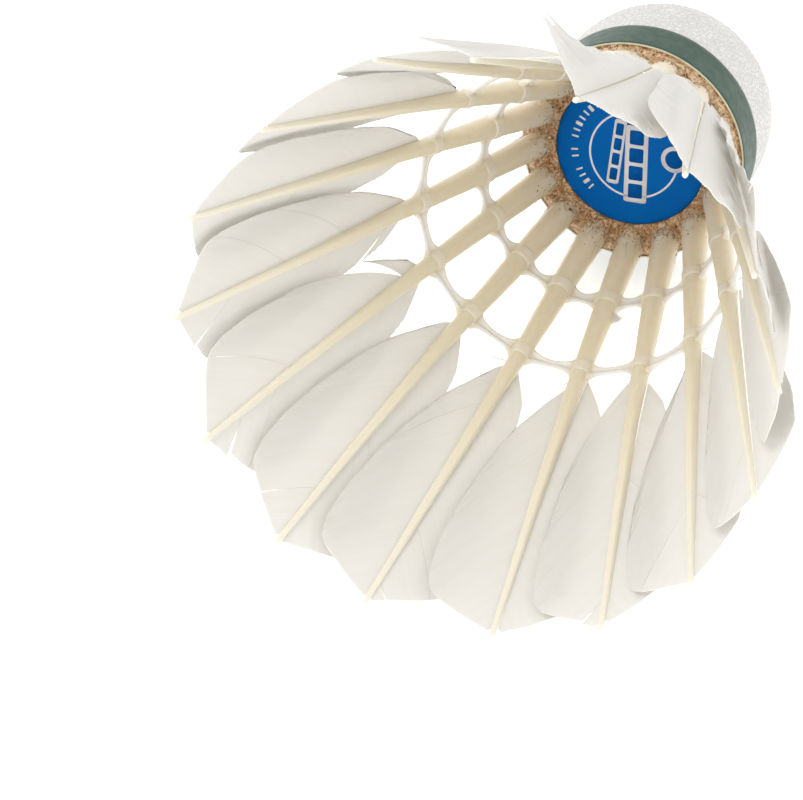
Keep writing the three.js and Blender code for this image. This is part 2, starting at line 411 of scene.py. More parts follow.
def toned_material(name, roughness, *stops):
    """A material whose colour is picked by the attribute `tone`."""
    made, tree, shader = material(name, (0.5, 0.3, 0.15), roughness)
    wire(shader, Base_Color=ramp(tree, attribute(tree, "tone"), *stops))
    return made


def cork_material():
    """Granules of cork pressed together."""
    made, tree, shader = material("cork", (0.5, 0.3, 0.15), 0.85)
    inputs = {"Vector": object_place(tree), "Scale": 1 / (0.55 * MM), "Randomness": 1.0}
    cells = node(tree, "TexVoronoi", inputs)
    shade = node(tree, "SeparateXYZ", {"Vector": cells.outputs["Color"]}).outputs["X"]
    colour = ramp(tree, shade, (0.0, (0.26, 0.13, 0.05)), (0.35, (0.43, 0.265, 0.115)),
                  (0.7, (0.54, 0.385, 0.19)), (1.0, (0.62, 0.50, 0.30)))
    dark = ramp(tree, noise_texture(tree, 0.3, 4), (0.38, 1), (0.5, 0))
    wire(shader, Base_Color=mixed(tree, dark, colour, (0.16, 0.07, 0.03)),
         Normal=bump(tree, cells.outputs["Distance"], 0.12, 0.6))
    return made


def leather_material():
    """Thin white leather. Its wrinkles are in the mesh, and its pores are here, as bumps with painted
    shade along the creases between them.
    """
    made, tree, shader = material("white_leather", (0.76, 0.74, 0.72), 0.5, Specular_IOR_Level=0.35)
    where = object_place(tree)
    inputs = {"Vector": where, "Scale": 1 / (1.2 * MM), "Detail": 2}
    wander = node(tree, "TexNoise", inputs).outputs["Color"]
    wander = node(tree, "VectorMath", {0: wander, 1: (0.9 * MM,) * 3}, operation="MULTIPLY").outputs[0]
    wander = node(tree, "VectorMath", {0: where, 1: wander}, operation="ADD").outputs[0]
    pores = node(tree, "TexVoronoi", {"Vector": wander, "Scale": 1 / (0.62 * MM)},
                 feature="DISTANCE_TO_EDGE").outputs["Distance"]
    # Painted shade: the lines between the pores are darkened towards grey, as shade would fall in the
    # creases.
    creases = ramp(tree, pores, (0.0, 1), (0.22, 0))
    white = mixed(tree, noise_texture(tree, 3.0), (0.80, 0.785, 0.765), (0.70, 0.685, 0.665))
    crease_shade = math_node(tree, "MULTIPLY", creases, 0.55)
    wire(shader, Base_Color=mixed(tree, crease_shade, white, (0.46, 0.44, 0.43)),
         Normal=bump(tree, pores, 0.22, 0.9))
    return made


def tape_material():
    """Dark green satin tape with rubbed spots."""
    made, tree, shader = material("green_tape", (0.035, 0.10, 0.07), 0.42, Specular_IOR_Level=0.3)
    rubbed = ramp(tree, noise_texture(tree, 2.5, 5, 0.65), (0.45, 0), (0.8, 0.5))
    wire(shader, Base_Color=mixed(tree, rubbed, (0.036, 0.076, 0.054), (0.09, 0.145, 0.105)),
         Roughness=ramp(tree, noise_texture(tree, 0.8), (0.3, 0.36), (0.7, 0.52)),
         Normal=bump(tree, noise_texture(tree, 0.12, 2), 0.015, 0.4))
    return made


def plain_material(name, colour, roughness, spot, size, depth, shine=0.5):
    """A colour that drifts a little towards another in soft patches, with a fine grain."""
    made, tree, shader = material(name, colour, roughness, Specular_IOR_Level=shine)
    patches = ramp(tree, noise_texture(tree, size), (0.4, 0), (0.75, 0.6))
    wire(shader, Base_Color=mixed(tree, patches, colour, spot),
         Normal=bump(tree, noise_texture(tree, size / 8, 2), depth, 0.4))
    return made


def label_material():
    """Glossy blue print on paper that isn't quite flat."""
    made, tree, shader = material("blue_label", (0.0, 0.11, 0.41), 0.3, Specular_IOR_Level=0.04)
    drift = noise_texture(tree, 4, 2)
    wire(shader, Base_Color=mixed(tree, drift, (0.0, 0.098, 0.38), (0.0, 0.130, 0.46)),
         Normal=bump(tree, noise_texture(tree, 1.8, 2), 0.02, 0.35))
    return made


# ---------------- feathers
BARB_PITCH = 0.6                  # along the shaft
BARB_POINTS = 20
RIDGE = 0.05                      # how far a barb stands over the groove beside it
VANE_START = 24.0
VANE_END = 62.3                   # where the oblique cuts meet the shaft
VANE_THICKNESS = 0.11
SHARP_EDGE = math.radians(55)     # a steeper corner of a vane shades as a corner
BEND = 1.6                        # how a feather's drift grows from the outer thread row to the tip

# Half widths of a trimmed vane at places along the shaft: the inner half lies under the next feather
VANE_EDGE = {
    "inner": [(24, 0.8), (28.3, 3.0), (32.5, 4.9), (38, 6.4), (44, 7.6),
              (51, 8.5), (56, 8.5), (58.9, 7.8), (VANE_END, 0.0)],
    "outer": [(24, 0.7), (26, 2.2), (28.5, 3.3), (33, 4.3), (43, 6.0),
              (52, 7.2), (57.8, 7.0), (VANE_END, 0.0)],
}
INNER_END = VANE_EDGE["inner"][5:]
OUTER_END = VANE_EDGE["outer"][5:]

# How a barb runs: u = spread * (1 - exp(-run / fade)). The first barbs follow the vane's own edge.
FIRST_BARB = (8.3, 12.5)
LATER_BARB = (15.0, 17.5)
BARB_CHANGE = 14.0                # length of the vane over which the first shape becomes the later one
SHORTEST_BARB = 0.8               # at a vane's start
LONGEST_RUN = 38.0                # of a barb along the shaft

# Slope of a half vane: how far its edge leans inward (inner half) or rises outward (outer half), per mm
TILT = {"inner": 0.07, "outer": 0.13}
SIGN = {"inner": 1, "outer": -1}  # of a half's side of the shaft
RISE = 0.62                       # of the barbs' roots over the shaft's axis, in its half widths
CRUMPLE = 0.08

# What follows is particular to single feathers, by number.
# Drift at the tip, in mm: across and outward. Those not named drift at random.
DRIFTS = {2: (0.1, 0.4), 3: (-0.9, 0.3), 4: (-1.4, 0.0), 5: (0.3, 0.55), 6: (-1.4, 1.2),
          7: (-1.0, 0.9), 8: (0.2, 0.8), 9: (-1.1, 0.9), 10: (0.1, -0.3), 11: (2.8, 0.9),
          12: (0.4, 0.4), 13: (-0.9, -0.7), 14: (0.0, -0.3), 15: (0.0, 0.0), 16: (0.1, 0.2)}
TILTS = {(1, "outer"): 0.38, (5, "outer"): 0.10, (9, "inner"): 0.05, (10, "inner"): -0.08,
         (10, "outer"): 0.27, (11, "inner"): 0.07, (12, "inner"): -0.12, (12, "outer"): 0.30,
         (13, "inner"): 0.0, (14, "inner"): -0.05, (15, "inner"): 0.02, (16, "outer"): 0.30}
# Where vanes start that do not start at VANE_START
STARTS = {1: 20.0, 3: 22.5, 4: 22.5, 13: 14.0, 14: 11.0, 15: 11.0, 16: 18.0}
# Feathers trimmed roughly, with crumpled vanes and first barbs that stand out further from the shaft
ROUGH = (13, 14, 15)
ROUGH_BARB = (7.0, 4.6)
ROUGH_RISE = 1.05
ROUGH_CRUMPLE = 0.42
ROUGH_RELIEF = 1.6
LOOSE_BARBS = 22                  # on each half of a rough vane
# Outer halves that have sprung away from the skirt: rise per mm of width at the far end
SPRUNG = {13: 0.60, 14: 0.10, 15: 0.32}
SPRING_START, SPRING_LENGTH = 18.0, 40.0
# Outlines of half vanes that differ from the others
OWN_EDGE = {
    (1, "inner"): [(20, 0.9), (22, 2.4), (25, 3.8), (28.3, 5.0), (32.5, 5.8), (38, 6.8), (44, 7.7),
                   *INNER_END],
    (3, "inner"): [(22.5, 0.9), (25, 2.6), (28.3, 4.4), (32.5, 5.8), (38, 6.9), (44, 7.8), *INNER_END],
    (4, "outer"): [(22.5, 0.7), (24, 2.0), (26, 3.3), (28.5, 4.3), (33, 5.0), (43, 6.3), *OUTER_END],
    (12, "outer"): [*VANE_EDGE["outer"][:2], (28.5, 3.5), (33, 4.8), (43, 6.8), (52, 8.1), (57.8, 8.1),
                    (VANE_END, 0.0)],
    (13, "inner"): [(14, 1.2), (16, 3.2), (20, 4.4), (30, 5.4), (38, 6.8), (44, 7.7), *INNER_END],
    (13, "outer"): [(14, 1.2), (16, 3.0), (20, 3.8), (24, 4.0), (30, 4.3), (38, 4.9), (45, 5.6),
                    (49, 7.2), (51, 9.6), (53, 6.4), (55, 6.2), (57.5, 9.8), (59.5, 4.5), (VANE_END, 0.0)],
    (14, "inner"): [(11, 1.2), (13, 3.2), (16, 4.2), (24, 5.0), (30, 5.6), (38, 6.8), (44, 7.7),
                    (51, 8.5), (56, 8.6), (58.9, 8.0), (VANE_END, 0.0)],
    (14, "outer"): [(11, 1.4), (13, 3.6), (16, 4.6), (22, 5.8), (30, 6.2), (43, 6.8), (52, 7.4),
                    (57.8, 7.0), (VANE_END, 0.0)],
    (15, "inner"): [(11, 1.2), (13, 2.6), (16, 3.2), (24, 3.8), (32.5, 5.2), (38, 6.4), (44, 7.6),
                    (51, 8.3), (56, 8.3), (58.9, 7.6), (VANE_END, 0.0)],
    (15, "outer"): [(11, 1.4), (13, 3.8), (16, 4.8), (22, 5.6), (30, 6.0), (43, 6.6), *OUTER_END],
    (16, "inner"): [(18, 0.9), (20, 2.6), (24, 4.0), (28.3, 5.0), (32.5, 5.8), (38, 6.8), (44, 7.7),
                    *INNER_END],
}
# Splits that show, as (share of the vane's length, gap in mm at the edge)
SPLITS = {(3, "inner"): [(0.93, 0.5)], (5, "outer"): [(0.95, 0.25)], (6, "inner"): [(0.80, 0.15)],
          (7, "inner"): [(0.09, 0.2), (0.62, 0.10)], (7, "outer"): [(0.86, 0.7), (0.70, 0.12)],
          (8, "inner"): [(0.30, 0.12)], (8, "outer"): [(0.78, 0.35), (0.07, 0.9)],
          (11, "outer"): [(0.9, 0.4)], (13, "inner"): [(0.3, 0.3), (0.12, 0.4)],
          (13, "outer"): [(0.72, 0.5), (0.45, 0.3), (0.2, 0.5)],
          (14, "inner"): [(0.35, 0.5), (0.15, 0.4)],
          (14, "outer"): [(0.55, 0.4), (0.3, 0.5), (0.1, 0.4)],
          (15, "outer"): [(0.66, 0.5), (0.38, 0.6), (0.16, 0.5)]}
# Barbs up to a vane's first split that have swung out: turns of the first and last one, longest in mm
TUFTS = {(7, "inner"): (math.radians(10), math.radians(17), 7.4)}
# Barb ends left on a stripped quill: side, and place along the shaft
STUBS = {4: ("outer", 12.4)}


def smooth_edge(edge):
    """The outline of a half vane at places 0.25 mm apart, with its corners rounded."""
    places, widths = zip(*edge)
    fine_places = np.arange(places[0] - 6, places[-1] + 6, 0.25)
    raw = np.interp(fine_places, places, widths)
    reach = np.arange(-12, 13)
    kernel = np.exp(-((reach / 3.2) ** 2))
    soft = np.convolve(raw, kernel / kernel.sum(), "same")
    end = np.clip((places[-1] - fine_places) / 1.5, 0, 1)
    start = np.clip((fine_places - places[0]) / 1.5, 0, 1)
    keep = np.minimum(end, start)
    return fine_places, soft * keep + raw * (1 - keep)


class Feather:
    """How one feather differs from the next: its tip's drift, twist, vane outlines and splits."""

    def __init__(self, number):
        self.number = number
        self.name = f"{number:02d}"
        self.matrix = feather_matrix(number - 1)
        at_random = (rng.uniform(-0.5, 0.5), rng.uniform(-0.3, 0.3))
        self.drift, self.lift = DRIFTS.get(number, at_random)
        self.twist = rng.uniform(-0.015, 0.015)
        self.width = rng.uniform(0.97, 1.02)
        self.seed = rng.uniform(0, 100)
        self.spring = SPRUNG.get(number, 0.0)
        self.rough = number in ROUGH
        self.start = STARTS.get(number, VANE_START)
        self.tilts, self.edges, self.splits = {}, {}, {}
        for half, edge in VANE_EDGE.items():
            self.tilts[half] = TILTS.get((number, half), TILT[half])
            self.edges[half] = smooth_edge(OWN_EDGE.get((number, half), edge))
            own = [(rng.uniform(0.15, 0.97), rng.uniform(0.02, 0.06))
                   for _ in range(rng.choice((0, 0, 1)))]
            self.splits[half] = SPLITS.get((number, half), []) + own

    def bend(self, points):
        """Moves points of the feather's own frame by its drift, which starts at the outer thread row."""
        points = np.array(points, float)
        bound = THREAD_PLACES["outer"]
        share = np.clip((points[:, 2] - bound) / (REACH - bound), 0, None)
        points[:, 1] += self.twist * points[:, 0] * share
        points[:, 0] += self.drift * share**BEND
        points[:, 1] += self.lift * share**BEND
        return moved(points, self.matrix)


def half_width(place_along):
    return np.interp(place_along, SHAFT_PLACES, SHAFT_DIAMETERS) / 2


def shaft_section(place_along, sides=28):
    """A ring round the shaft: round at the quill, squarer further on, with a groove along the inside."""
    turn = np.arange(sides) * 2 * math.pi / sides
    square = np.interp(place_along, [22, 36], [2.0, 2.8])
    half = half_width(place_along)
    across = np.sign(np.cos(turn)) * np.abs(np.cos(turn)) ** (2 / square) * half
    outward = np.sign(np.sin(turn)) * np.abs(np.sin(turn)) ** (2 / square) * half
    groove = np.interp(place_along, [24, 34, 58, REACH], [0, 0.14, 0.1, 0])
    outward += groove * half * np.exp(-((across / (0.25 * half)) ** 2)) * (outward < 0)
    return np.stack([across, outward, np.full(sides, place_along)], axis=1)


def shaft(feather, look):
    places = [*np.linspace(-QUILL_DEPTH, 0, 6, endpoint=False), *np.linspace(0, REACH, 100)]
    rings = []
    for at in places:
        ring = shaft_section(at)
        ring[:, :2] *= 1 + 0.02 * speckle((feather.seed, at, 0), 3.0)
        ring[:, 0] += 0.10 * speckle((at, feather.seed, 5), 14.0) * np.clip(at / 20, 0, 1)
        rings.append(ring)
    tip = rings[-1].copy()
    middle = tip[:, :2].mean(axis=0)
    for share in (0.75, 0.4):
        nib = tip.copy()
        nib[:, :2] = middle + (nib[:, :2] - middle) * share
        nib[:, 2] += 0.3 * math.sqrt(1 - share**2)
        rings.append(nib)
    points, faces = skinned(rings)
    thing = mesh_object(f"shaft_{feather.name}", feather.bend(points), faces)
    turn = (np.arange(len(points)) % len(tip)) / len(tip)
    turn = np.minimum(turn, 1 - turn) * 2
    set_uv(thing, "shaft", np.stack([points[:, 2], turn + feather.seed], axis=1))
    return finish_piece(thing, look, "feather_shaft", f"feather_shaft_{feather.name}")


def barb_across(feather, root, run):
    """How far from the shaft's axis a barb is, after a run along the shaft from its root."""
    later = min(1, (root - feather.start) / BARB_CHANGE)
    first = ROUGH_BARB if feather.rough else FIRST_BARB
    spread, fade = (a + (b - a) * later for a, b in zip(first, LATER_BARB))
    side = half_width(root) * (0.25 if feather.rough else 0.85)
    return side + spread * (1 - np.exp(-run / fade))


def barb_runs(feather, roots, half):
    """How far each barb runs before it meets the trimmed edge. A barb never ends past the next one."""
    run = np.linspace(0, LONGEST_RUN, 760)
    places, widths = feather.edges[half]
    ends = []
    for root in roots:
        limit = np.interp(root + run, places, widths * feather.width, right=0)
        past = np.nonzero((barb_across(feather, root, run) > limit) & (run > 0.4))[0]
        ends.append(root + (run[past[0]] if len(past) else run[-1]))
    for index in reversed(range(len(ends) - 1)):
        ends[index] = max(min(ends[index], ends[index + 1] - 0.03), roots[index] + 0.3)
    return np.array(ends) - roots


def sheet_height(feather, across, along, root, half):
    """Height of the vane's sheet over the shaft's axis, at points across (signed) and along it."""
    cone = (ROOT_RADIUS + along * math.sin(SLOPE)) / math.cos(SLOPE)
    rise = ROUGH_RISE if feather.rough else RISE
    height = rise * half_width(root) - feather.tilts[half] * across - across**2 / (2 * cone)
    if half == "outer":
        sprung = np.clip((along - SPRING_START) / SPRING_LENGTH, 0, 1)
        height = height + feather.spring * sprung * np.abs(across) ** 1.15 * 0.8
    return height


def swung(line, share, first_turn, last_turn, longest):
    """A barb of a tuft, turned about its root away from the shaft."""
    turn = first_turn + (last_turn - first_turn) * share
    out = np.array([[math.cos(turn), -math.sin(turn)], [math.sin(turn), math.cos(turn)]])
    return line[0] + (line - line[0]) @ out * min(1, longest / math.dist(line[0], line[-1]))


def ripple(across, along, wide, long, seed):
    """Noise over a vane, with lumps of a width and a length."""
    return np.array([speckle((a / wide, b / long, seed), 1.0) for a, b in zip(across, along)])


def vane_half(feather, half):
    """Strips of barbs between splits: points in the feather's frame with barb coordinates, and faces."""
    sign = SIGN[half]
    count = int((VANE_END - 0.3 - feather.start) / BARB_PITCH)
    cuts = {int(share * count): gap for share, gap in feather.splits[half]}
    reach = np.linspace(0, 1, BARB_POINTS)
    opening = np.clip(reach - 0.2, 0, None) ** 1.3 * 1.33
    crumple = ROUGH_CRUMPLE if feather.rough else CRUMPLE
    relief = RIDGE * (ROUGH_RELIEF if feather.rough else 1)
    tuft = TUFTS.get((feather.number, half))
    strips, strip = [], []
    roots = feather.start + np.arange(2 * count + 1) * BARB_PITCH / 2
    for row, (root, end) in enumerate(zip(roots, barb_runs(feather, roots, half))):
        index = row / 2
        if end < SHORTEST_BARB and root < feather.start + 2:
            continue
        run = end * reach
        line = np.stack([barb_across(feather, root, run), root + run], axis=1)
        ridge = row % 2
        for cut, gap in cuts.items():
            away = index - cut
            line[:, 1] += math.copysign(1, away + 1e-6) * gap / 2 * math.exp(-abs(away) / 6) * opening
        ragged = 0.09 * ridge + 0.07 * speckle((index * 3.7, feather.seed, sign), 1.0)
        line[:, 0] += ragged * reach
        straight = line
        if tuft and not strips:
            line = swung(line, index / min(cuts), *tuft)
        across, along = sign * line[:, 0], line[:, 1]
        height = sheet_height(feather, across, along, root, half)
        rough = ripple(across, along, 2.5, 6, feather.seed)
        rough = crumple * rough + 0.3 * crumple * ripple(across, along, 1.1, 3.0, feather.seed + 7)
        slope = np.gradient(line[:, 0], line[:, 1] + np.arange(BARB_POINTS) * 1e-6)
        spacing = np.clip(slope / np.hypot(slope, 1) / 0.55, 0, 1) * min(1, index / 3)
        height = height + rough * reach + relief * ridge * spacing
        strip.append(np.stack([across, height, along, np.full(BARB_POINTS, index), line[:, 0]], axis=1))
        if ridge == 0 and row // 2 in cuts and len(strip) > 2:
            gap = cuts[row // 2]
            strips.append(strip)
            later = strip[-1].copy()
            later[:, 0], later[:, 2] = sign * straight[:, 0], straight[:, 1]
            strip[-1][:, 2] -= gap * opening
            later[:, 1] += (0.04 + 0.25 * gap) * reach
            strip = [later]
    strips.append(strip)
    return [(np.concatenate(s), grid_faces(len(s), BARB_POINTS)) for s in strips if len(s) > 2]


def barb_strip(across, height, along, width, root):
    """A single flat barb, as points with barb coordinates and faces."""
    edges = [np.stack([across, height, along + edge, 0 * along + root, abs(across)], axis=1)
             for edge in (0, width)]
    return np.concatenate(edges), grid_faces(2, len(along))


def loose_barbs(feather, half, count):
    """Single barbs below the vane's start, which have come unhooked and curl away."""
    sign = SIGN[half]
    parts = []
    for _ in range(count):
        root = feather.start + rng.uniform(-0.9, 1.6) * (3 if feather.rough else 1)
        length = rng.uniform(1.0, 3.0)
        lean = rng.uniform(0.35, 1.1)
        curl = rng.uniform(-0.5, 0.9)
        rise = rng.uniform(-0.25, 0.25)
        reach = np.linspace(0, 1, 9)
        across = half_width(root) * 0.85 + length * reach * math.cos(lean)
        along = root + length * (reach * math.sin(lean) + curl * 0.4 * reach**2)
        height = sheet_height(feather, sign * across, along, root, half)
        height += rise * length * 0.3 * reach**1.5
        parts.append(barb_strip(sign * across, height, along, 0.10 * (1 - 0.75 * reach), root))
    return parts


def stub(half, place_along, count=9):
    """A tuft of stiff barb ends left on the quill where the barbs were stripped."""
    sign = SIGN[half]
    parts = []
    reach = np.linspace(0, 1, 6)
    for index in range(count):
        root = place_along + index * 0.16
        length = 1.9 - 0.13 * index + rng.uniform(-0.1, 0.1)
        across = sign * (half_width(root) * 0.7 + length * reach * 0.8)
        along = root + (1.1 - 0.09 * index) * reach
        height = -0.3 + 0.05 * index * reach
        parts.append(barb_strip(across, height, along, 0.24 * (1 - 0.5 * reach), root))
    return parts


def vane(feather, look):
    parts = []
    if feather.number in STUBS:
        parts += stub(*STUBS[feather.number])
    for half in VANE_EDGE:
        parts += vane_half(feather, half)
        parts += loose_barbs(feather, half, LOOSE_BARBS if feather.rough else rng.randint(0, 1))
    points, faces = joined(parts)
    thing = mesh_object(f"vane_{feather.name}", feather.bend(points[:, :3]), faces, closed=False)
    set_uv(thing, "barbs", points[:, 3:5])
    solid = thing.modifiers.new("thickness", "SOLIDIFY")
    solid.thickness = VANE_THICKNESS * MM
    solid.offset = 0
    applied(thing)
    thing.data.set_sharp_from_angle(angle=SHARP_EDGE)
    return finish_piece(thing, look, "feather_vane", f"feather_vane_{feather.name}")


# ---------------- threads
THREAD_CUFF = 0.8                 # half the width of the thread on a quill
WINDINGS = 5
THREAD_DEPTH, THREAD_RIDGE = 0.09, 0.05  # of the thread on a quill
STRANDS_APART, WEB_APART = 0.30, 0.75    # half the gap between two strands, and what the web adds
STRAND_THICK, WEB_THICK = 0.20, 0.30
WEB_REACH = 0.75                  # how far the lacquer's web runs out from a quill


def thread_row(name, at, look):
    """Thread wound round every quill and run to the next, under lacquer that webs at the corners."""
    parts = []
    ring_radius = ROOT_RADIUS + at * math.sin(SLOPE)
    ring_height = -at * math.cos(SLOPE)
    for number in range(FEATHERS):
        matrix = feather_matrix(number)
        share = np.linspace(-1, 1, 41)
        places = at + THREAD_CUFF * share
        wound = THREAD_DEPTH + THREAD_RIDGE * np.cos(share * WINDINGS * math.pi) ** 2
        grip = half_width(places) + wound * np.clip((1 - share**4) * 1.5, 0.05, 1)
        line = moved(on_axis(places + rng.uniform(-0.12, 0.12)), matrix)
        parts.append(tube(line, [(g, g, matrix[:3, 0]) for g in grip], 28))

        share = np.linspace(0, 1, 36)
        turn = FIRST_FEATHER + number * STEP + STEP * share
        dip = rng.uniform(-0.25, 0.25)
        height = ring_height + dip * np.sin(share * math.pi) + 0.1 * np.sin(2 * math.pi * share)
        span = around(ring_radius, turn, height)
        from_quill = np.minimum(share, 1 - share) * (STEP * ring_radius) - half_width(at) * 0.8
        flare = np.exp(-np.clip(from_quill, 0, None) / WEB_REACH)
        apart = STRANDS_APART + rng.uniform(-0.05, 0.08) + WEB_APART * flare
        thick = STRAND_THICK + WEB_THICK * flare
        parts.append(tube(span, [(w, 0.35 * t, matrix[:3, 2]) for w, t in zip(apart, thick)], 16))
        for side in (-1, 1):
            strand = span + np.outer(side * apart + 0.05 * np.sin(9 * share + number), matrix[:3, 2])
            parts.append(tube(strand, [(t, t, matrix[:3, 2]) for t in thick], 12))
    points, faces = joined(parts)
    thing = fused(mesh_object(f"thread_{name}", points, faces), 0.1, 4)
    near, along = in_feather_frames(thing)
    over = near - half_width(along)
    set_attribute(thing, "wrap", np.clip(1 - (over - 0.25) / 0.6, 0, 1) * 0.75)
    return finish_piece(thing, look, "thread", f"thread_row_{name}")


def on_axis(places):
    """Points on a feather's axis, in its own frame."""
    return np.stack([0 * places, 0 * places, places], axis=1)


def in_feather_frames(thing):
    """For each point of a mesh: its distance from the nearest shaft's axis, and its place along it."""
    points = np.empty(len(thing.data.vertices) * 3)
    thing.data.vertices.foreach_get("co", points)
    points = unplaced(points.reshape(-1, 3) / MM)
    near = np.full(len(points), np.inf)
    along = np.zeros(len(points))
    for number in range(FEATHERS):
        matrix = feather_matrix(number)
        own = (points - matrix[:3, 3]) @ matrix[:3, :3]
        away = np.hypot(own[:, 0], own[:, 1])
        along = np.where(away < near, own[:, 2], along)
        near = np.minimum(near, away)
    return near, along


def set_attribute(thing, name, values):
    layer = thing.data.attributes.new(name, "FLOAT", "POINT")
    layer.data.foreach_set("value", np.asarray(values, np.float32))


# ---------------- glue and crumbs at the roots
GLUE_RINGS = ((9.35, 0.32), (10.6, 0.45), (11.9, 0.36))  # radius and half width


def root_glue(look):
    parts = []
    ring = np.linspace(0, 2 * math.pi, 200)
    for radius, half in GLUE_RINGS:
        parts.append(tube(around(radius, ring, -0.05), [(half, 0.75, np.array([0, 0, 1.0]))] * 200, 10))
    for number in range(FEATHERS):
        matrix = feather_matrix(number)
        top = rng.uniform(1.2, 2.4)
        places = np.linspace(-0.5, top, 12)
        collar = half_width(places) + 0.08 + 0.34 * np.exp(-places / 0.6) - 0.12 * (places / top) ** 4
        parts.append(tube(moved(on_axis(places), matrix), [(c, c, matrix[:3, 0]) for c in collar], 20))
    points, faces = joined(parts)
    thing = fused(mesh_object("glue_at_roots", points, faces), 0.12, 3)
    _, along = in_feather_frames(thing)
    grain = []
    for vertex, height in zip(thing.data.vertices, along):
        where = vertex.co / MM
        lump = speckle(where, 0.45) + 0.6 * speckle(where, 0.2)
        fade = max(0.25, 1 - max(height, 0) / 3)
        grain.append(vertex.co + vertex.normal * lump * 0.11 * fade * MM)
    own = clear_of_label(unplaced(np.array(grain) / MM))
    thing.data.vertices.foreach_set("co", place(own).ravel())
    set_attribute(thing, "clear", np.clip((along - 0.5) / 1.4, 0, 1))
    return finish_piece(thing, look, "glue", "root_glue")


def clear_of_label(points):
    """Points of the base frame, pushed out of the label's circle."""
    points = np.array(points, float)
    radius = np.hypot(points[:, 0], points[:, 1])
    clear = LABEL_RADIUS + 0.06
    close = (radius < clear) & (points[:, 2] > -3)
    scale = np.where(close, clear / np.maximum(radius, 0.1), 1)
    points[:, :2] *= scale[:, None]
    return points


def toned_piece(name, parts, tones, look, slot):
    """Many small forms as one piece, with a tone for each point."""
    points, faces = joined(parts)
    thing = mesh_object(name, clear_of_label(points), faces, closed=False)
    set_attribute(thing, "tone", tones)
    return finish_piece(thing, look, slot)


def crumbs(glue, look, count=2600):
    """Cork crumbs stuck in the glue and a little way up the quills."""
    ball = bmesh.new()
    bmesh.ops.create_icosphere(ball, subdivisions=1, radius=1)
    shape = np.array([v.co for v in ball.verts])
    shape_faces = [[v.index for v in f.verts] for f in ball.faces]
    ball.free()
    spots = []
    vertices = glue.data.vertices
    _, along = in_feather_frames(glue)
    while len(spots) < count * 0.6:
        pick = rng.randrange(len(vertices))
        facing = vertices[pick].normal.dot(Vector(BASE[:3, 2])) < 0.4
        if facing and rng.random() < math.exp(-along[pick] / 1.1):
            spots.append((unplaced(np.array(vertices[pick].co) / MM), 1.0))
    while len(spots) < count:
        up = 1.2 + rng.expovariate(1 / 1.3)
        if up < 5.5:
            spot = around(half_width(up) + 0.03, np.array([rng.uniform(0, 2 * math.pi)]), up)
            spots.append((moved(spot, feather_matrix(rng.randrange(FEATHERS)))[0], 0.6))
    parts, tones = [], []
    for spot, size in spots:
        scale = size * rng.uniform(0.05, 0.15) * np.array([rng.uniform(0.6, 1.5) for _ in range(3)])
        turn = rng.uniform(0, 6.3)
        spin = Matrix.Rotation(turn, 3, Vector([rng.gauss(0, 1) for _ in range(3)]))
        parts.append(((shape * scale) @ np.array(spin).T + spot, shape_faces))
        tones += [rng.random()] * len(shape)
    return toned_piece("cork_crumbs", parts, tones, look, "cork")


def fibres(look, count=2400):
    """Short fine hairs of down, matted on the quills where they leave the cork."""
    parts, tones = [], []
    for _ in range(count):
        matrix = feather_matrix(rng.randrange(FEATHERS))
        low = min(rng.expovariate(1 / 1.3), 4.5)
        length = rng.uniform(0.4, 1.3)
        side = rng.uniform(0, 2 * math.pi)
        slant = rng.gauss(0, 0.35)
        reach = np.linspace(0, 1, 4)
        places = low + length * reach
        out = half_width(places) + rng.uniform(0.02, 0.10) + rng.uniform(0, 0.25) * reach**2
        turn = side + slant * length * reach / half_width(low)
        line = around(out, turn, places)
        thick = rng.uniform(0.02, 0.04) * (1 - 0.6 * reach)
        up = matrix[:3, 0] + 0.3 * matrix[:3, 1]
        parts.append(tube(moved(line, matrix), [(t, t, up) for t in thick], 3))
        tones += [min(1.0, 0.15 + 0.16 * low + rng.uniform(0, 0.45))] * 12
    return toned_piece("root_fibres", parts, tones, look, "glue")


# ---------------- base
def dome_profile(offset, steps):
    radius = BASE_RADIUS - offset
    quarter = [i / steps * math.pi / 2 for i in range(steps + 1)]
    line = [(radius * math.cos(a), BASE_SIDE + radius * math.sin(a)) for a in quarter]
    return [*line[:-1], (0, line[-1][1])]


def rumple(thing, depth):
    """Moves each point along its normal by depth(point in mm), which may be anything from noise."""
    vertices = thing.data.vertices
    out = [v.co + v.normal * depth(v.co / MM) * MM for v in vertices]
    vertices.foreach_set("co", np.array(out).ravel())
    thing.data.update()


def cork(look):
    face = fine([(0, 0), (8.4, 0)], 2.0)[:-1]
    face += fine([(8.4, 0), (12.75, 0), (12.88, 0.12), (12.88, 1.2)], 0.16)
    inside = [(12.37, 1.2)] + dome_profile(LEATHER + 0.08, 16)
    thing = mesh_object("cork", *turned(face + inside, 440))

    def granules(where):
        cell, _ = noise.voronoi(where / 0.7)
        return 0.10 * (cell[0] - 0.4) + 0.05 * speckle(where, 0.25)

    rumple(thing, granules)
    return finish_piece(thing, look, "cork", "cork_base")


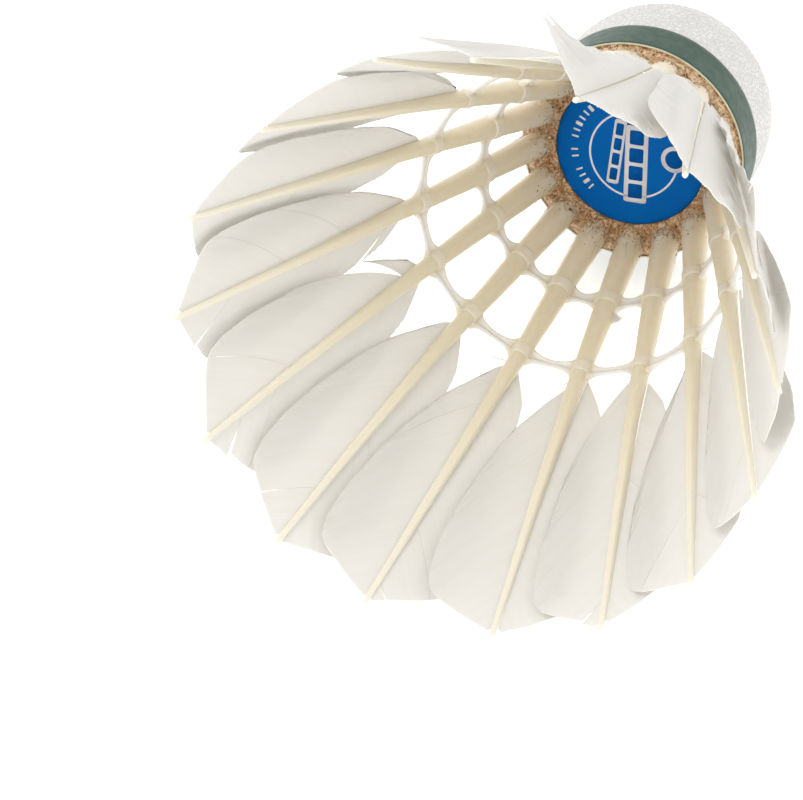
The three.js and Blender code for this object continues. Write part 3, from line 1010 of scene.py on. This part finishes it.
def leather(look):
    outer = [(BASE_RADIUS - 0.1, LEATHER_START), (BASE_RADIUS, LEATHER_START + 0.15),
             (BASE_RADIUS, BASE_SIDE)]
    outer = fine(outer, 0.2)[:-1] + dome_profile(0, 100)
    inner = dome_profile(LEATHER, 20)[::-1] + [(BASE_RADIUS - LEATHER, LEATHER_START),
                                              (BASE_RADIUS - 0.1, LEATHER_START)]
    thing = mesh_object("leather_cup", *turned(inner[:-1] + outer, 400))
    inside = BASE_RADIUS - LEATHER / 2

    def wrinkles(where):
        own = unplaced(where)
        depth = math.hypot(own[0], own[1]) if own[2] < BASE_SIDE else math.dist(own, (0, 0, BASE_SIDE))
        if depth < inside or own[2] < TAPE_END - 0.4:
            return 0.0
        cell, _ = noise.voronoi(Vector(own) / 1.05)
        crease = min(cell[1] - cell[0], 0.35) / 0.35
        return 0.075 * crease + 0.08 * speckle(own, 0.7) + 0.04 * speckle(own, 3.5) - 0.07

    rumple(thing, wrinkles)
    return finish_piece(thing, look, "leather", "leather_cover")


def ring_band(name, inside, outside, low, high, sides=360, wave=0.0):
    """A thin closed band round the base, with rounded edges that may wander a little."""
    soft = min(0.04, (outside - inside) / 3)
    profile = [(inside, low), (outside - soft, low), (outside, low + soft)]
    profile += [(outside, low + (high - low) * i / 10) for i in range(1, 10)]
    profile += [(outside, high - soft), (outside - soft, high), (inside, high), (inside, low)]
    points, faces = turned(profile[:-1], sides)
    last = (len(profile) - 2) * sides
    faces += [[i, (i + 1) % sides, last + (i + 1) % sides, last + i] for i in range(sides)]
    turn = np.arctan2(points[:, 1], points[:, 0])
    points[:, 2] += wave * (0.6 * np.sin(3 * turn + 0.7) + 0.4 * np.sin(8 * turn))
    return mesh_object(name, points, faces)


def tape(look, paper):
    band = ring_band("edge_tape", 12.93, 13.12, TAPE_START + 0.02, TAPE_END, wave=0.06)
    finish_piece(band, look, "tape", "edge_tape")
    lip = ring_band("tape_paper_edge", 12.9, 13.08, TAPE_START - 0.14, TAPE_START + 0.03, wave=0.02)
    finish_piece(lip, paper, "tape")


def label(look):
    top, bottom, edge = LABEL_TOP, LABEL_BOTTOM, LABEL_RADIUS
    profile = fine([(0, top), (edge - 0.08, top)], 0.5) + [(edge - 0.02, top + 0.04), (edge, top + 0.1),
                                                          (edge, bottom), (0, bottom)]
    thing = mesh_object("label_disc", *turned(profile, 200))
    return finish_piece(thing, look, "label", "base_label")


# Printed shapes on the label, drawn in its plane: x to the part's right side, y towards the floor
RING_CENTRE, RING_RADIUS = (0.35, 0.3), 5.2
RING_START, RING_END = math.radians(-14), math.radians(8) - 2 * math.pi
BARS = [((0.75, 1.4), 4.7, 1.35, math.radians(84)), ((-1.7, 0.4), 4.0, 0.72, math.radians(90))]
BADGE = np.array([5.1, -0.3])
TICKS, TICK_RADIUS = 15, 6.75
TICK_START, TICK_SWEEP = 127, 97  # in degrees
MISSING_TICKS = (4, 7)


def outline(points, width):
    """The two edges of a line of a width."""
    ahead = np.roll(points, -1, axis=0) - np.roll(points, 1, axis=0)
    normal = np.stack([ahead[:, 1], -ahead[:, 0]], axis=1)
    normal /= np.linalg.norm(normal, axis=1)[:, None]
    return points + normal * width / 2, points - normal * width / 2


def rounded_bar(centre, half_long, half_wide, radius, turn, corner=6):
    """The outline of a bar with round corners."""
    points = []
    for quarter, (sx, sy) in enumerate(((1, 1), (-1, 1), (-1, -1), (1, -1))):
        for i in range(corner + 1):
            a = (quarter + i / corner) * math.pi / 2
            points.append((sx * (half_long - radius) + radius * math.cos(a),
                           sy * (half_wide - radius) + radius * math.sin(a)))
    spin = np.array([[math.cos(turn), -math.sin(turn)], [math.sin(turn), math.cos(turn)]])
    return np.array(points) @ spin.T + centre


def arc_points(radius, start, end, count):
    return around(radius, np.linspace(start, end, count), 0)[:, :2]


def raised(flat, thickness=0.02):
    """Points of the label's plane as points just over the label's face, and the same under it."""
    top = np.column_stack([flat, np.full(len(flat), LABEL_TOP - thickness)])
    low = np.column_stack([flat, np.full(len(flat), LABEL_TOP + thickness)])
    return np.concatenate([top, low])


def filled(flat):
    count = len(flat)
    faces = [list(range(count)), list(range(count, 2 * count))]
    faces += [[i, (i + 1) % count, count + (i + 1) % count, count + i] for i in range(count)]
    return raised(flat), faces


def stroked(flat, width):
    """An open line of a width, as a raised shape."""
    count = len(flat)
    low = 2 * count
    faces = [[end, count + end, low + count + end, low + end] for end in (0, count - 1)]
    for i in range(count - 1):
        faces += [[a + i, a + i + 1, a + count + i + 1, a + count + i] for a in (0, low)]
        faces += [[a + i, a + i + 1, low + a + i + 1, low + a + i] for a in (0, count)]
    return raised(np.concatenate(outline(flat, width))), faces


def label_print(white, blue):
    """A plain ring, two outlined bars, a round badge and a row of ticks."""
    parts = [stroked(arc_points(RING_RADIUS, RING_START, RING_END, 110) + RING_CENTRE, 0.24)]
    for centre, long, wide, lean in BARS:
        parts.append(filled(rounded_bar(centre, long, wide, 0.35, lean)))
    parts.append(filled(arc_points(1.6, 0, 2 * math.pi, 41)[:-1] + BADGE))
    for i in range(TICKS):
        if i in MISSING_TICKS:
            continue
        turn = math.radians(TICK_START + i * TICK_SWEEP / (TICKS - 1))
        middle = TICK_RADIUS * np.array([math.cos(turn), math.sin(turn)])
        parts.append(filled(rounded_bar(middle, 0.42, 0.11 + 0.1 * (i % 3 == 1), 0.08, turn, 3)))
    finish_piece(mesh_object("label_print", *joined(parts)), white, "label")
    parts = []
    for centre, long, wide, lean in BARS:
        for i in range(4):
            shift = (i - 1.5) * long / 2.15
            spot = np.array(centre) + shift * np.array([math.cos(lean), math.sin(lean)])
            parts.append(filled(rounded_bar(spot, long / 5.4, wide * 0.62, 0.2, lean, 4)))
    parts.append(filled(arc_points(1.1, 0, 2 * math.pi, 31)[:-1] + BADGE))
    points, faces = joined(parts)
    points[:, 2] += np.where(points[:, 2] < LABEL_TOP, -0.015, 0)
    finish_piece(mesh_object("label_print_blue", points, faces), blue, "label")


# ---------------- floor, lights and camera
def studio():
    """A pale floor that glows a little, like a light table, under broad soft lights."""
    bpy.ops.mesh.primitive_plane_add(size=6, location=(0, 0, 0))
    floor = bpy.context.object
    floor.name = "floor"
    look, tree, shader = material("floor", grey(0.85), 0.9, Emission_Strength=0.5,
                                  Emission_Color=(1, 1, 1, 1))
    wire(shader, Base_Color=ramp(tree, noise_texture(tree, 300, 2), (0, 0.84), (1, 0.87)))
    floor.data.materials.append(look)

    world = bpy.data.worlds.new("studio")
    bpy.context.scene.world = world
    world.use_nodes = True
    background = world.node_tree.nodes["Background"]
    background.inputs["Color"].default_value = (1, 1, 1, 1)
    background.inputs["Strength"].default_value = 1.0

    def softbox(name, spot, size, power):
        lamp = bpy.data.lights.new(name, "AREA")
        lamp.shape = "DISK"
        lamp.size = size
        lamp.energy = power
        thing = bpy.data.objects.new(name, lamp)
        thing.location = spot
        thing.rotation_euler = (-Vector(spot)).to_track_quat("-Z", "Y").to_euler()
        bpy.context.scene.collection.objects.link(thing)

    softbox("key", (-0.28, -0.48, 0.95), 0.6, 3.4)
    softbox("fill", (0.8, -0.5, 0.6), 0.8, 0.7)


CAMERA_AIM = Vector((-11.82, -23.65, 12.34)) * MM
CAMERA_AZIMUTH = math.radians(18.35)
CAMERA_ELEVATION = math.radians(42.89)
CAMERA_ROLL = math.radians(1.77)
CAMERA_DISTANCE = 674.7 * MM
CAMERA_LENS = 276.6


def camera():
    data = bpy.data.cameras.new("camera")
    data.lens = CAMERA_LENS
    data.sensor_width = 36
    thing = bpy.data.objects.new("camera", data)
    a, e = CAMERA_AZIMUTH, CAMERA_ELEVATION
    back = Vector((math.sin(a) * math.cos(e), -math.cos(a) * math.cos(e), math.sin(e)))
    level = Vector((math.cos(a), math.sin(a), 0))
    up = back.cross(level)
    right = level * math.cos(CAMERA_ROLL) + up * math.sin(CAMERA_ROLL)
    turn = Matrix((right, back.cross(right), back)).transposed()
    thing.matrix_world = Matrix.Translation(CAMERA_AIM + back * CAMERA_DISTANCE) @ turn.to_4x4()
    bpy.context.scene.collection.objects.link(thing)
    bpy.context.scene.camera = thing


# ---------------- the whole scene
def build():
    camera()
    studio()
    bpy.context.scene.view_settings.view_transform = "Standard"

    vane_look, shaft_look = vane_material(), shaft_material()
    for number in range(1, FEATHERS + 1):
        feather = Feather(number)
        shaft(feather, shaft_look)
        vane(feather, vane_look)

    thread_look = thread_material()
    for name, at in THREAD_PLACES.items():
        thread_row(name, at, thread_look)

    glue = root_glue(glue_material())
    crumbs(glue, toned_material("cork_crumbs", 0.8, (0.0, (0.13, 0.055, 0.02)),
                                (0.35, (0.40, 0.17, 0.06)), (0.7, (0.62, 0.34, 0.15)),
                                (1.0, (0.82, 0.66, 0.44))))
    fibres(toned_material("root_fibres", 0.6, (0.0, (0.10, 0.05, 0.022)), (0.3, (0.24, 0.14, 0.07)),
                          (0.6, (0.55, 0.43, 0.27)), (1.0, (0.80, 0.72, 0.56))))
    cork(cork_material())
    leather(leather_material())
    paper = plain_material("tape_paper", (0.72, 0.66, 0.50), 0.6, (0.55, 0.47, 0.33), 1.0, 0.02)
    tape(tape_material(), paper)
    label(label_material())
    white = plain_material("label_white", (0.78, 0.76, 0.78), 0.3, (0.70, 0.68, 0.72), 1.5, 0.01)
    blue = plain_material("label_blue_ink", (0.0, 0.09, 0.35), 0.3, (0.0, 0.12, 0.43), 1.5, 0.01, 0.04)
    label_print(white, blue)


build()
